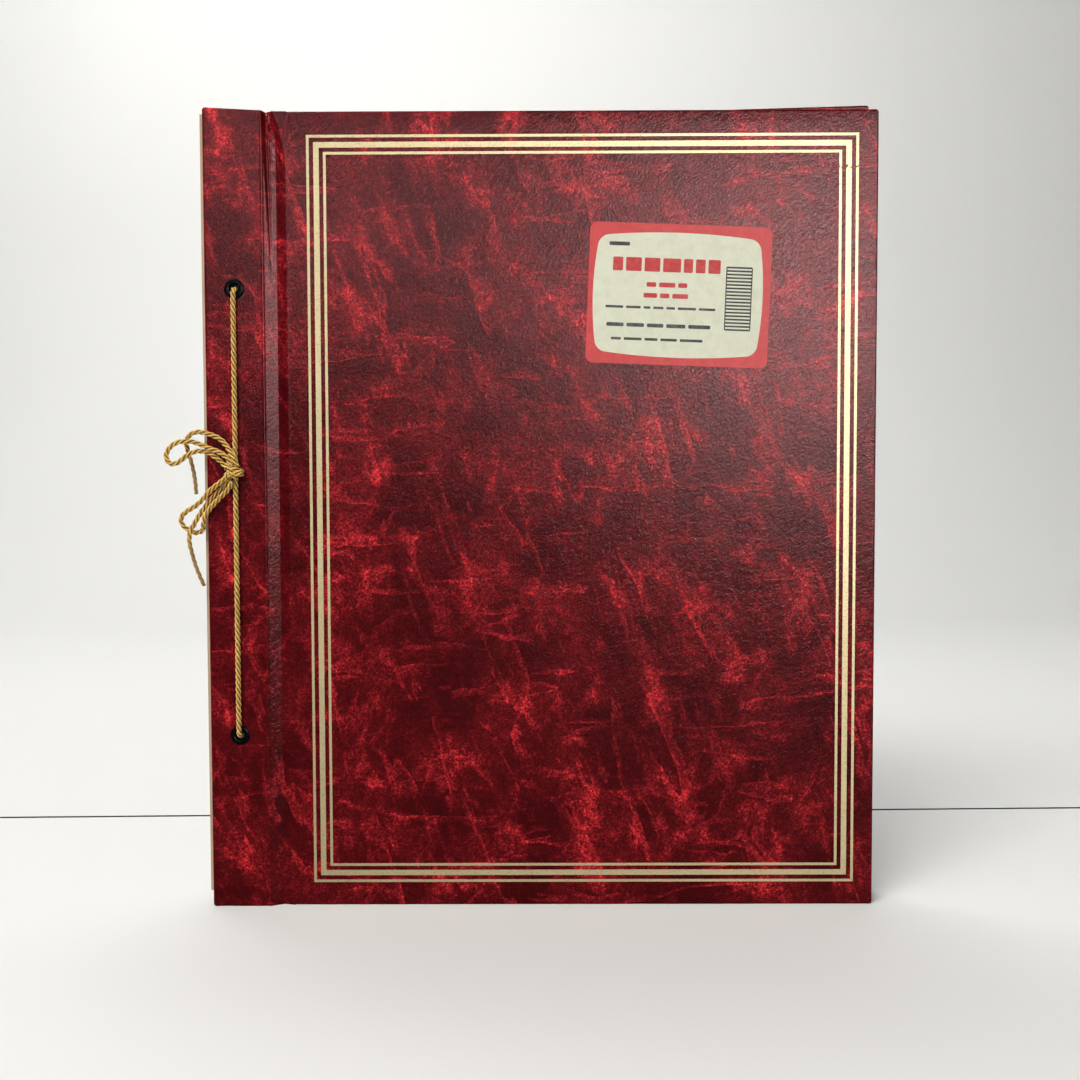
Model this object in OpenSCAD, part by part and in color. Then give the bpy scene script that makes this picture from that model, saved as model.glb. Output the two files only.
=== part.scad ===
// Post-bound scrapbook album, standing upright with its front cover towards -Y.
// The binding edge is at -X.  Millimetres, +Z up.

/* [Covers] */
// Width of the closed cover, from binding edge to fore edge
cover_w = 304.8; // [240:1:360]
// Height of the front cover
cover_h = 363; // [320:1:420]
// Width of the stiff stub that the lacing goes through
stub_w = 27; // [22:0.5:36]
// Width of the flexible hinge channel between stub and panel
channel_w = 10.5; // [9:0.5:14]
// Thickness of the cover boards
board_t = 2; // [1.5:0.1:3]
// Thickness of the leatherette
skin_t = 0.4; // [0.3:0.05:0.6]
// Thickness of the paper lining inside the covers
lining_t = 0.25; // [0.2:0.05:0.4]
// How far the leatherette is folded over onto the inside
turn_in = 15; // [8:1:25]
// Radius of the cover corners
corner_r = 1.1; // [0.8:0.1:4]
// How far the far top corner of the back cover stands above the front cover
back_rise = 7; // [0:0.5:9]
// How far the stubs' top edges rise towards the binding edge
stub_rise = 1.5; // [0:0.1:4]

/* [Sheets] */
// Number of sheets
sheets = 32; // [12:1:32]
// Height of a sheet
sheet_h = 355.6; // [300:0.1:360]
// Thickness of one leaf
leaf_t = 0.25; // [0.2:0.01:0.3]
// Spacing of the leaves between the covers
leaf_pitch = 0.39; // [0.36:0.01:0.45]
// Spacing of the doubled sheet stubs in the binding
stub_pitch = 0.5; // [0.48:0.01:0.6]
// How far the sheet stubs stand out past the cover at the binding edge
stub_proud = 2; // [0:0.1:4]
// Gap from a sheet's fore edge to the cover's
fore_gap = 4; // [2:0.5:10]

/* [Lacing] */
// Distance between the two eyelets
eyelet_spacing = 203.2; // [150:0.1:240]
// Distance of the eyelets from the cover's binding edge
eyelet_inset = 13.6; // [11:0.1:16]
// Outer diameter of an eyelet
eyelet_d = 9; // [8:0.1:10]
// Diameter of the hole through an eyelet
eyelet_hole_d = 4; // [3.6:0.1:5]
// Diameter of the lacing cord
cord_d = 2.4; // [2:0.1:2.6]

/* [Decoration] */
// Distance of the outer gilt line from the panel's upright edges
gilt_inset_side = 9; // [6:0.5:16]
// Distance of the outer gilt line from the panel's top and foot
gilt_inset_end = 10.7; // [6:0.1:16]
// Width of the label
label_w = 82.5; // [60:0.5:100]
// Height of the label
label_h = 63.5; // [45:0.5:80]
// Clockwise turn of the label in degrees
label_turn = 2.3; // [0:0.1:5]

/* [Motion] */
// Angle to which the front cover opens
open_angle = 150; // [90:5:150]

/* [Hidden] */
function sheet_name(k) = str("sheet_", k < 10 ? "0" : "", k);

$fn = 48;

// Colours
leatherette = "darkred";
cardboard = "tan";
cream = "antiquewhite";
black = "black";
gold = "goldenrod";
coral = "lightcoral";

// Through the thickness: the covers' outer faces, measured from the middle plane
cover_t = board_t + 2 * skin_t + lining_t;
stub_face = sheets * stub_pitch / 2 + cover_t;
panel_face = sheets * leaf_pitch / 2 + cover_t;

// Across the width: the whole closed album is centred on X = 0
cover_x = -(cover_w - stub_proud) / 2;
stub_edge_x = cover_x + stub_w;
panel_x = stub_edge_x + channel_w;
panel_w = cover_w - stub_w - channel_w;
hinge_x = stub_edge_x + channel_w / 2;

// Hinge strip: its gap at the axis and its step below the panel's outer face
hinge_gap = 0.3;
hinge_dip = 0.6;
strip_t = skin_t + lining_t;

// Straight pieces in a rounded cover corner
corner_steps = 6;

// Rise of a cover part's top edge at its [left, right] end
level = [0, 0];
stub_slope = [stub_rise, 0];
back_slope = [0, back_rise];

// Overshoot of a cut past the face it goes through
past = 1;

// Lining: how far it stays inside the cover's edge
lining_inset = 4;

// Eyelets: height of the rolled rim above the cover, and wall of the barrel
rim_h = 0.8;
barrel_wall = 0.35;
barrel_d = eyelet_hole_d + 2 * barrel_wall;
eyelet_x = cover_x + eyelet_inset;
eyelet_z = [cover_h / 2 + eyelet_spacing / 2, cover_h / 2 - eyelet_spacing / 2];
sheet_hole_d = 6;

// Gilt frame, outer line inwards: [distance from the outer line, line width]
gilt_lines = [[0, 1.2], [3.2, 2.5], [7.6, 1.2]];
foil_t = 0.1;

// Label: its centre from the panel's fore edge and top edge
label_from_fore = 90;
label_from_top = 83;
label_r = 3.5;
label_t = 0.15;

// Sheets: height above the foot, gap between stubs, how far a single paper runs into its
// stub, how far it lies flat before the crease, the first crease from the stub's edge,
// and the gaps at the crease and over a turned leaf
sheet_z = 6.5;
stub_gap = 0.04;
stub_lap = 1;
flat_before_crease = 0.5;
first_crease = 9.5;
crease_gap = 0.15;
link_gap = 0.25;
leaf_clear = 0.06;
// Share of the cover's angle that the first and the last sheet turn through
first_ratio = 0.82;
last_ratio = 0.03;

// Cord: radius of its bend over an eyelet, and how far its runs stand off the covers
cord_r = cord_d / 2;
cord_bend = 2.4;
run_proud = rim_h + cord_r + 0.05;
cord_sides = 8;

// Bow: its origin from the lacing and from the upper eyelet
bow_left = 1.7;
bow_drop = 84;

// Knot: radius, width and edge radius of its barrel, and its middle from the bow's origin
knot_r = 3.4;
knot_w = 7.6;
knot_edge_r = 1.4;
knot_at = [1.2, 3.5, 1.4];

// Routes of the bow from its origin: [right, in front of the stub, up]
upper_loop_route = [
    [0.9, 4.8, 3.8], [-1.3, 4.4, 7.7], [-5.1, 3.4, 10.3], [-9.6, 2.6, 12], [-13.4, 2.4, 13.7],
    [-17.2, 2.2, 15], [-21, 2.2, 15.4], [-25, 2.2, 14.6], [-28.3, 2.4, 12], [-29.4, 2.8, 8.4],
    [-27.6, 3.2, 5.4], [-24.2, 3.2, 5.6], [-20.4, 2.6, 8.6], [-16.1, 1.8, 10.8],
    [-11.1, 1.6, 10.4], [-7.4, 1.8, 8.2], [-3.9, 2.4, 5.4], [-1.6, 3.2, 2.8]
];
upper_tail_route = [
    [3.4, 4.4, 3.6], [1.8, 4.8, 7.2], [-0.2, 4, 10.8], [-2.6, 2.4, 13.8], [-5.8, 1.6, 16.7],
    [-11, 1.6, 18.9], [-15.3, 1.2, 19.6], [-19.2, 0.2, 18.4], [-21.3, -0.8, 15.4],
    [-21, -1.6, 11.8], [-19.8, -2, 7], [-18.6, -2, 2], [-17.8, -2, -3.6], [-17.5, -1.9, -8.6]
];
lower_loop_route = [
    [-1.6, 4.4, -0.8], [-5.9, 3.6, -4.2], [-9.6, 3.2, -7], [-12.9, 3.2, -10.8],
    [-16.4, 3.2, -14], [-20.2, 2.6, -16.2], [-23, 2, -18.8], [-23.2, 1, -22.2],
    [-20.6, 0, -24.8], [-17.2, -0.4, -26.2], [-14.2, 0.2, -25], [-13.4, 1.2, -21.8],
    [-12.4, 1.7, -18.4], [-9.6, 2, -14.4], [-5.9, 2.4, -10.6], [-1.8, 3, -6.8], [1, 4.2, -2.8]
];
lower_tail_route = [
    [-0.5, 1.6, -2.6], [-5, 1.5, -6.4], [-8.8, 1.5, -9.8], [-11.9, 1.5, -13.6],
    [-15, 1.6, -18], [-17.4, 2.2, -22.2], [-19, 3, -26], [-19.4, 3, -30], [-18.6, 2.2, -35],
    [-17.4, 1.4, -40.4], [-15.4, 1.2, -46], [-13.4, 1.3, -50.4]
];

// ---------------------------------------------------------------- helpers

// Points of a rounded corner about a centre, from angle a on through 90 degrees
function corner(x, y, r, a) = [
    for (i = [0 : corner_steps])
        let (turn = a + 90 * i / corner_steps) [x + r * cos(turn), y + r * sin(turn)]
];

// A rectangle with round corners, its lower left corner at the origin; rise lifts
// the top edge at its [left, right] end
module rounded_rect(w, h, r, rise = level)
    polygon(concat(
        corner(w - r, r, r, -90),
        corner(w - r, h + rise[1] - r, r, 0),
        corner(r, h + rise[0] - r, r, 90),
        corner(r, r, r, 180)
    ));

// Stands a drawing up in the XZ plane, its depth from 0 to t towards +Y
module upright(t) translate([0, t, 0]) rotate([90, 0, 0]) linear_extrude(t) children();

// Puts a cover part that is built behind Y = 0 at the front or at the back
module at_front(face) translate([0, -face, 0]) children();
module at_back(face) translate([0, face, 0]) mirror([0, 1, 0]) children();

// The same outline, drawn in by d all round
module inset_outline(w, h, d, rise = level)
    translate([d, d]) rounded_rect(w - 2 * d, h - 2 * d, corner_r, rise);

module leatherette_wrap(w, h, rise = level) {
    difference() {
        upright(board_t + 2 * skin_t) rounded_rect(w, h, corner_r, rise);
        translate([0, skin_t, 0]) upright(board_t) inset_outline(w, h, skin_t, rise);
        translate([0, skin_t + board_t, 0]) upright(2 * skin_t) inset_outline(w, h, turn_in, rise);
    }
}

module board(w, h, rise = level)
    color(cardboard) translate([0, skin_t, 0]) upright(board_t) inset_outline(w, h, skin_t, rise);

// The lining lies on the turn-ins and fills the step down to the board
module lining(w, h, rise = level)
    color(cream) {
        translate([0, skin_t + board_t, 0]) upright(skin_t) inset_outline(w, h, turn_in, rise);
        translate([0, 2 * skin_t + board_t, 0])
            upright(lining_t) inset_outline(w, h, lining_inset, rise);
    }

// Half of the thin strip that bridges the hinge channel
module hinge_strip(dip) translate([0, dip, 0]) cube([channel_w / 2 - hinge_gap, strip_t, cover_h]);

// Cylinders along Y on both eyelet axes
module lacing_holes(d, length)
    for (z = eyelet_z)
        translate([eyelet_x, 0, z]) rotate([90, 0, 0]) cylinder(h = length, d = d, center = true);

// ---------------------------------------------------------------- covers

module stub_cover()
    color(leatherette) {
        difference() {
            translate([cover_x, 0, 0]) stub_wrap();
            lacing_holes(barrel_d, 4 * stub_face);
        }
    }

// The stub's turn-ins meet, so only the board is hollowed out
module stub_wrap() {
    difference() {
        upright(board_t + 2 * skin_t) rounded_rect(stub_w, cover_h, corner_r, stub_slope);
        translate([0, skin_t, 0])
            upright(board_t) inset_outline(stub_w, cover_h, skin_t, stub_slope);
    }
    translate([stub_w, 0, 0]) hinge_strip(stub_face - panel_face + hinge_dip);
}

module stub_board()
    color(cardboard) difference() {
        translate([cover_x, 0, 0]) board(stub_w, cover_h, stub_slope);
        lacing_holes(barrel_d, 4 * stub_face);
    }

module stub_lining()
    color(cream) difference() {
        translate([cover_x, board_t + 2 * skin_t, 0])
            upright(lining_t) inset_outline(stub_w, cover_h, lining_inset, stub_slope);
        lacing_holes(barrel_d, 4 * stub_face);
    }

module panel_cover(rise = level)
    color(leatherette) {
        translate([panel_x, 0, 0]) leatherette_wrap(panel_w, cover_h, rise);
        translate([hinge_x + hinge_gap, 0, 0]) hinge_strip(hinge_dip);
    }

module front_stub_board() at_front(stub_face) stub_board();
module front_stub_cover() at_front(stub_face) stub_cover();
module front_stub_lining() at_front(stub_face) stub_lining();
module back_stub_board() at_back(stub_face) stub_board();
module back_stub_cover() at_back(stub_face) stub_cover();
module back_stub_lining() at_back(stub_face) stub_lining();

module front_panel_board() at_front(panel_face) translate([panel_x, 0, 0]) board(panel_w, cover_h);
module front_panel_cover() at_front(panel_face) panel_cover();
module front_panel_lining() at_front(panel_face) translate([panel_x, 0, 0]) lining(panel_w, cover_h);

module back_panel_board()
    at_back(panel_face) translate([panel_x, 0, 0]) board(panel_w, cover_h, back_slope);
module back_panel_cover() at_back(panel_face) panel_cover(back_slope);
module back_panel_lining()
    at_back(panel_face) translate([panel_x, 0, 0]) lining(panel_w, cover_h, back_slope);

// ---------------------------------------------------------------- eyelets

// Flared barrel with a rolled rim, the rim standing in front of Y = 0
module eyelet(z) {
    hole_r = eyelet_hole_d / 2;
    rim_r = rim_h / 2;
    color(black) translate([eyelet_x, 0, z]) rotate([-90, 0, 0]) difference() {
        union() {
            cylinder(h = cover_t, r = barrel_d / 2);
            translate([0, 0, -rim_r]) cylinder(h = rim_r, r = eyelet_d / 2 - rim_r);
            translate([0, 0, -rim_r])
                rotate_extrude() translate([eyelet_d / 2 - rim_r, 0]) circle(rim_r);
            translate([0, 0, -rim_r])
                rotate_extrude() translate([hole_r + rim_r, 0]) circle(rim_r);
        }
        translate([0, 0, -rim_h - past]) cylinder(h = cover_t + rim_h + 2 * past, r = hole_r);
        below_face();
    }
}

// Cuts off the rim's lower half, outside the barrel, where it would enter the cover
module below_face()
    difference() {
        cylinder(h = cover_t + past, r = eyelet_d);
        translate([0, 0, -past]) cylinder(h = cover_t + 3 * past, r = barrel_d / 2);
    }

module front_upper_eyelet() at_front(stub_face) eyelet(eyelet_z[0]);
module front_lower_eyelet() at_front(stub_face) eyelet(eyelet_z[1]);
module back_upper_eyelet() at_back(stub_face) eyelet(eyelet_z[0]);
module back_lower_eyelet() at_back(stub_face) eyelet(eyelet_z[1]);

// ---------------------------------------------------------------- decoration

// The panel's outline, drawn in at its sides and ends by the frame's margins and d more
module gilt_outline(d) {
    side = gilt_inset_side + d;
    end = gilt_inset_end + d;
    translate([side, end]) square([panel_w - 2 * side, cover_h - 2 * end]);
}

module gilt_ring(d, line_w)
    difference() {
        gilt_outline(d);
        gilt_outline(d + line_w);
    }

module gold_frame()
    color(gold) translate([panel_x, -panel_face - foil_t, 0])
        for (l = gilt_lines) upright(foil_t) gilt_ring(l[0], l[1]);

module label()
    color(coral)
        translate([cover_x + cover_w - label_from_fore, -panel_face - label_t,
                   cover_h - label_from_top])
            rotate([0, label_turn, 0])
                upright(label_t) translate([-label_w / 2, -label_h / 2])
                    rounded_rect(label_w, label_h, label_r);

// ---------------------------------------------------------------- sheets

// Middle planes of a sheet's stub and of its leaf, the first sheet at the front
function stub_y(k) = (k - (sheets + 1) / 2) * stub_pitch;
function leaf_y(k) = (k - (sheets + 1) / 2) * leaf_pitch;

// Angle that a sheet reaches when the front cover is wide open
function turn_ratio(k) = first_ratio + (last_ratio - first_ratio) * (k - 1) / (sheets - 1);
function full_turn(k) = open_angle * turn_ratio(k);

// Each crease is set further from the stub than the one in front of it by just
// enough for the turned leaf to pass the crease in front
function crease_step(k) =
    max(0, (leaf_t + leaf_clear - leaf_pitch * cos(full_turn(k))) / sin(full_turn(k)));
function crease_x(k) = k == 1 ? stub_edge_x + first_crease : crease_x(k - 1) + crease_step(k);

// The doubled stub and the single paper that runs from it to the crease
module sheet_stub(k) {
    half = (stub_pitch - stub_gap) / 2;
    flat_x = stub_edge_x + first_crease - flat_before_crease;
    end_x = crease_x(k) - link_gap;
    linear_extrude(sheet_h) {
        translate([cover_x - stub_proud, stub_y(k) - half])
            square([stub_w + stub_proud, 2 * half]);
        polygon([
            [stub_edge_x - stub_lap, stub_y(k) - leaf_t / 2],
            [stub_edge_x, stub_y(k) - leaf_t / 2],
            [flat_x, leaf_y(k) - leaf_t / 2],
            [end_x, leaf_y(k) - leaf_t / 2],
            [end_x, leaf_y(k) + leaf_t / 2],
            [flat_x, leaf_y(k) + leaf_t / 2],
            [stub_edge_x, stub_y(k) + leaf_t / 2],
            [stub_edge_x - stub_lap, stub_y(k) + leaf_t / 2]
        ]);
    }
}

module sheet_stubs()
    color(cream) difference() {
        translate([0, 0, sheet_z]) for (k = [1 : sheets]) sheet_stub(k);
        lacing_holes(sheet_hole_d, 4 * stub_face);
    }

module sheet(k) {
    x = crease_x(k) + crease_gap;
    color(cream) translate([x, leaf_y(k) - leaf_t / 2, sheet_z])
        cube([cover_x + cover_w - fore_gap - x, leaf_t, sheet_h]);
}

// ---------------------------------------------------------------- lacing and bow

// A quarter bend of the cord that turns from an up-and-down run into a hole
module cord_corner()
    rotate([90, 0, 90]) rotate_extrude(angle = 90) translate([cord_bend, 0]) circle(cord_r);

// A straight run of cord, upwards from the origin
module cord_run(length) cylinder(h = length, r = cord_r);

// The cord goes in at one eyelet, down behind the album and out at the other
module lacing_cord() {
    y = stub_face + run_proud;
    run = eyelet_z[0] - eyelet_z[1] - 2 * cord_bend;
    through = 2 * (y - cord_bend);
    color(gold) translate([eyelet_x, 0, eyelet_z[1]]) {
        for (side = [-1, 1]) {
            translate([0, side * y, cord_bend]) cord_run(run);
            for (end = [0, 1])
                translate([0, side * (y - cord_bend), cord_bend + end * run])
                    mirror([0, side < 0 ? 1 : 0, 0])
                        mirror([0, 0, end == 0 ? 1 : 0]) cord_corner();
        }
        for (z = [0, run + 2 * cord_bend])
            translate([0, through / 2, z]) rotate([90, 0, 0]) cord_run(through);
    }
}

// A point given from the bow's origin, as a place in the album's frame
function in_bow(p) = [
    eyelet_x - bow_left + p[0],
    -stub_face - p[1],
    eyelet_z[0] - bow_drop + p[2]
];

// The knot is a round-ended barrel across the lacing, bored for it
module bow_knot()
    color(gold) difference() {
        translate(in_bow(knot_at - [knot_w / 2, 0, 0])) rotate([0, 90, 0]) rotate_extrude() {
            square([knot_r - knot_edge_r, knot_w]);
            translate([0, knot_edge_r]) square([knot_r, knot_w - 2 * knot_edge_r]);
            for (z = [knot_edge_r, knot_w - knot_edge_r])
                translate([knot_r - knot_edge_r, z]) circle(knot_edge_r);
        }
        translate([eyelet_x, -stub_face - run_proud, 0]) cylinder(h = cover_h, r = cord_r);
    }

// Direction of a route at its i-th point
function along(route, i) =
    let (a = route[max(i - 1, 0)], b = route[min(i + 1, len(route) - 1)])
        (b - a) / norm(b - a);

// One ring of a tube; the bow lies nearly flat, so the rings are set out from Y
function ring(route, i) =
    let (
        t = along(route, i),
        side = cross(t, [0, 1, 0]) / norm(cross(t, [0, 1, 0])),
        up = cross(t, side)
    )
        [for (j = [0 : cord_sides - 1])
            route[i] + cord_r * (cos(360 * j / cord_sides) * side + sin(360 * j / cord_sides) * up)];

// A plain tube along a route
module tube(route) {
    n = cord_sides;
    last = len(route) - 1;
    points = [for (i = [0 : last]) each ring(route, i)];
    walls = [for (i = [0 : last - 1], j = [0 : n - 1])
        [i * n + j, i * n + (j + 1) % n, (i + 1) * n + (j + 1) % n, (i + 1) * n + j]];
    first_cap = [for (j = [n - 1 : -1 : 0]) j];
    last_cap = [for (j = [0 : n - 1]) last * n + j];
    polyhedron(points, concat([first_cap], walls, [last_cap]));
}

module bow_part(route) color(gold) tube([for (p = route) in_bow(p)]);

module bow_upper_loop() bow_part(upper_loop_route);
module bow_lower_loop() bow_part(lower_loop_route);
module bow_upper_tail() bow_part(upper_tail_route);
module bow_lower_tail() bow_part(lower_tail_route);

// ---------------------------------------------------------------- drawing

front_stub_board();
front_stub_cover();
front_stub_lining();
front_panel_board();
front_panel_cover();
front_panel_lining();
back_stub_board();
back_stub_cover();
back_stub_lining();
back_panel_board();
back_panel_cover();
back_panel_lining();
sheet_stubs();
front_upper_eyelet();
front_lower_eyelet();
back_upper_eyelet();
back_lower_eyelet();
gold_frame();
label();
lacing_cord();
bow_knot();
bow_upper_loop();
bow_lower_loop();
bow_upper_tail();
bow_lower_tail();
for (k = [1 : sheets]) sheet(k);
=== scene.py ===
"""Post-bound scrapbook album: the looks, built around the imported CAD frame.

Everything is in metres in the row's own frame: X across the cover, +Z up, front cover towards -Y.
"""
import random
from math import atan2, ceil, cos, pi, radians, sin, sqrt

import bpy
from mathutils import Matrix, Vector, noise


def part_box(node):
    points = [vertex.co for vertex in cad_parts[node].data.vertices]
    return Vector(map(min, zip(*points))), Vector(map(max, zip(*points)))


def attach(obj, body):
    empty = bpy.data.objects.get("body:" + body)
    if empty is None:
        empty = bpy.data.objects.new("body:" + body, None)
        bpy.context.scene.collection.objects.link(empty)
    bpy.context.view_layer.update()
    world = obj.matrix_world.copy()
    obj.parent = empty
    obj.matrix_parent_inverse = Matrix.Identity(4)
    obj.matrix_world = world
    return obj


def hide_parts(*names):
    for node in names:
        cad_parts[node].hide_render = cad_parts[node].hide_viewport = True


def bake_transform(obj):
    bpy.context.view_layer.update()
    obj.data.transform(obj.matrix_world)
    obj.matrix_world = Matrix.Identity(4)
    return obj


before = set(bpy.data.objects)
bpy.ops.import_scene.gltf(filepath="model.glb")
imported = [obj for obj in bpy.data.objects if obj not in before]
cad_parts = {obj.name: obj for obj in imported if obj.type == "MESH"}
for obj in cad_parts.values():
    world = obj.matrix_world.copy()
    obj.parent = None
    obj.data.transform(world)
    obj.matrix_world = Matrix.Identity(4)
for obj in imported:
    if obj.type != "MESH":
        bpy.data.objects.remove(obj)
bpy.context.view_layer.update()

MM = 0.001
random.seed(13)

# ---- sizes, read from the frame

STUB_LOW, STUB_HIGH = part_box("front_stub_board")
PANEL_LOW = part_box("front_panel_board")[0]
COVER_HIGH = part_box("front_panel_cover")[1]
SKIN = 0.4 * MM  # thickness of the leatherette
COVER_LEFT = STUB_LOW[0] - SKIN
COVER_RIGHT = COVER_HIGH[0]
COVER_H = COVER_HIGH[2]
STUB_W = STUB_HIGH[0] - STUB_LOW[0] + 2 * SKIN
PANEL_X = PANEL_LOW[0] - SKIN
STUB_EDGE = COVER_LEFT + STUB_W
STUB_FACE = -(STUB_LOW[1] - SKIN)  # distance of the stub's face from the middle plane
PANEL_FACE = -(PANEL_LOW[1] - SKIN)
BOARD_T = 2.8 * MM  # board with the leatherette on both sides
FLEX_T = 0.45 * MM  # leatherette and lining across the hinge channel
BACK_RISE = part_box("back_panel_cover")[1][2] - COVER_H
STUB_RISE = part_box("front_stub_cover")[1][2] - COVER_H
EYELETS = [
    [(a + b) / 2 for a, b in zip(*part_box(f"front_{end}_eyelet"))] for end in ("upper", "lower")
]
EYELET_X = EYELETS[0][0]
UPPER_Z, LOWER_Z = EYELETS[0][2], EYELETS[1][2]

# ---- camera

CAMERA_AT = (0.0022, -0.5121, 0.1896)
CAMERA_LENS_MM = 36.67
CAMERA_PITCH, CAMERA_YAW, CAMERA_ROLL = radians(-2.33), radians(0.23), radians(0.17)


def make_camera():
    data = bpy.data.cameras.new("camera")
    data.lens = CAMERA_LENS_MM
    data.sensor_width = 36
    data.clip_start = 0.01
    camera = bpy.data.objects.new("camera", data)
    bpy.context.scene.collection.objects.link(camera)
    turn = Matrix.Rotation(CAMERA_YAW, 4, "Z") @ Matrix.Rotation(CAMERA_PITCH, 4, "X")
    turn = turn @ Matrix.Rotation(CAMERA_ROLL, 4, "Y") @ Matrix.Rotation(pi / 2, 4, "X")
    camera.matrix_world = Matrix.Translation(CAMERA_AT) @ turn
    bpy.context.scene.camera = camera


make_camera()

# ---- node helpers


class Nodes:
    """A short way to write a material's node tree."""

    def __init__(self, name):
        self.material = bpy.data.materials.new(name)
        self.material.use_nodes = True
        self.tree = self.material.node_tree
        self.tree.nodes.clear()
        self.shader = self.tree.nodes.new("ShaderNodeBsdfPrincipled")
        self.output = self.tree.nodes.new("ShaderNodeOutputMaterial")
        self.link(self.shader.outputs[0], self.output.inputs["Surface"])

    def link(self, a, b):
        self.tree.links.new(a, b)

    def put(self, socket, value):
        if isinstance(value, bpy.types.NodeSocket):
            self.link(value, socket)
        else:
            socket.default_value = value

    def math(self, op, a, b, clamp=False):
        n = self.tree.nodes.new("ShaderNodeMath")
        n.operation = op
        n.use_clamp = clamp
        self.put(n.inputs[0], a)
        self.put(n.inputs[1], b)
        return n.outputs[0]

    def place(self, source="UV", scale=(1, 1, 1), turn=0.0, shift=(0, 0, 0)):
        """Coordinates in units of the feature size: scale is features per metre."""
        c = self.tree.nodes.new("ShaderNodeTexCoord")
        m = self.tree.nodes.new("ShaderNodeMapping")
        m.vector_type = "TEXTURE"
        m.inputs["Scale"].default_value = [1 / s for s in scale]
        m.inputs["Rotation"].default_value = (0, 0, turn)
        m.inputs["Location"].default_value = shift
        self.link(c.outputs[source], m.inputs["Vector"])
        return m.outputs[0]

    def noise(self, vector, scale=1.0, detail=4.0, rough=0.55, warp=0.0):
        n = self.tree.nodes.new("ShaderNodeTexNoise")
        n.inputs["Scale"].default_value = scale
        n.inputs["Detail"].default_value = detail
        n.inputs["Roughness"].default_value = rough
        n.inputs["Distortion"].default_value = warp
        self.link(vector, n.inputs["Vector"])
        return n.outputs["Fac"]

    def cells(self, vector, scale=1.0):
        n = self.tree.nodes.new("ShaderNodeTexVoronoi")
        n.inputs["Scale"].default_value = scale
        self.link(vector, n.inputs["Vector"])
        return n.outputs["Distance"]

    def steps(self, value, low, high, out_low=0.0, out_high=1.0):
        """A smooth step of value from low to high."""
        n = self.tree.nodes.new("ShaderNodeMapRange")
        n.interpolation_type = "SMOOTHSTEP"
        for name, v in zip(("From Min", "From Max", "To Min", "To Max"), (low, high, out_low, out_high)):
            n.inputs[name].default_value = v
        self.link(value, n.inputs["Value"])
        return n.outputs[0]

    def ramp(self, value, stops):
        n = self.tree.nodes.new("ShaderNodeValToRGB")
        points = n.color_ramp.elements
        while len(points) < len(stops):
            points.new(0.5)
        for p, (at, colour) in zip(points, stops):
            p.position = at
            p.color = (*colour, 1)
        self.link(value, n.inputs[0])
        return n.outputs[0]

    def mix(self, share, a, b):
        n = self.tree.nodes.new("ShaderNodeMix")
        n.data_type = "RGBA"
        self.put(n.inputs["Factor"], share)
        for socket, v in ((n.inputs[6], a), (n.inputs[7], b)):
            self.put(socket, v if isinstance(v, bpy.types.NodeSocket) else (*v, 1))
        return n.outputs[2]

    def bump(self, height, distance, strength=1.0, after=None):
        n = self.tree.nodes.new("ShaderNodeBump")
        n.inputs["Distance"].default_value = distance
        n.inputs["Strength"].default_value = strength
        self.link(height, n.inputs["Height"])
        if after is not None:
            self.link(after, n.inputs["Normal"])
        return n.outputs[0]

    def attribute(self, name):
        n = self.tree.nodes.new("ShaderNodeAttribute")
        n.attribute_name = name
        return n.outputs["Fac"]

    def finish(self, colour, roughness, normal=None, **fixed):
        """Sets the shader: links for what varies, plain values for what doesn't."""
        for name, v in (("Base Color", colour), ("Roughness", roughness), ("Normal", normal)):
            if v is not None:
                self.put(self.shader.inputs[name], v if not isinstance(v, tuple) else (*v, 1))
        for name, v in fixed.items():
            self.shader.inputs[name.replace("_", " ").title().replace("Ior", "IOR")].default_value = v
        return self.material


# ---- materials


def crush(n, turn, across, along, gate, shift=0.0):
    """Rubbed streaks that start sharply at one side and fade out at the other.

    turn is the streaks' direction from upright; across and along are features per metre.
    """
    place = n.place(scale=(across, along, 1), turn=turn, shift=(shift, 0.2, 0))
    field = n.noise(place, detail=6, rough=0.52, warp=0.25)
    place = n.place(scale=(across * 0.7, along * 0.9, 1), turn=turn, shift=(0.4, shift, 0))
    where = n.noise(place, detail=4, rough=0.6)
    sharp = n.steps(field, 0.485, 0.515)
    fading = n.math("MULTIPLY", n.steps(field, 0.64, 0.51), 0.62)
    line = n.math("MULTIPLY", n.steps(field, 0.56, 0.51), 0.33)
    streak = n.math("MULTIPLY", sharp, n.math("ADD", fading, line))
    return n.math("MULTIPLY", streak, n.steps(where, gate, gate + 0.15))


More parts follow.
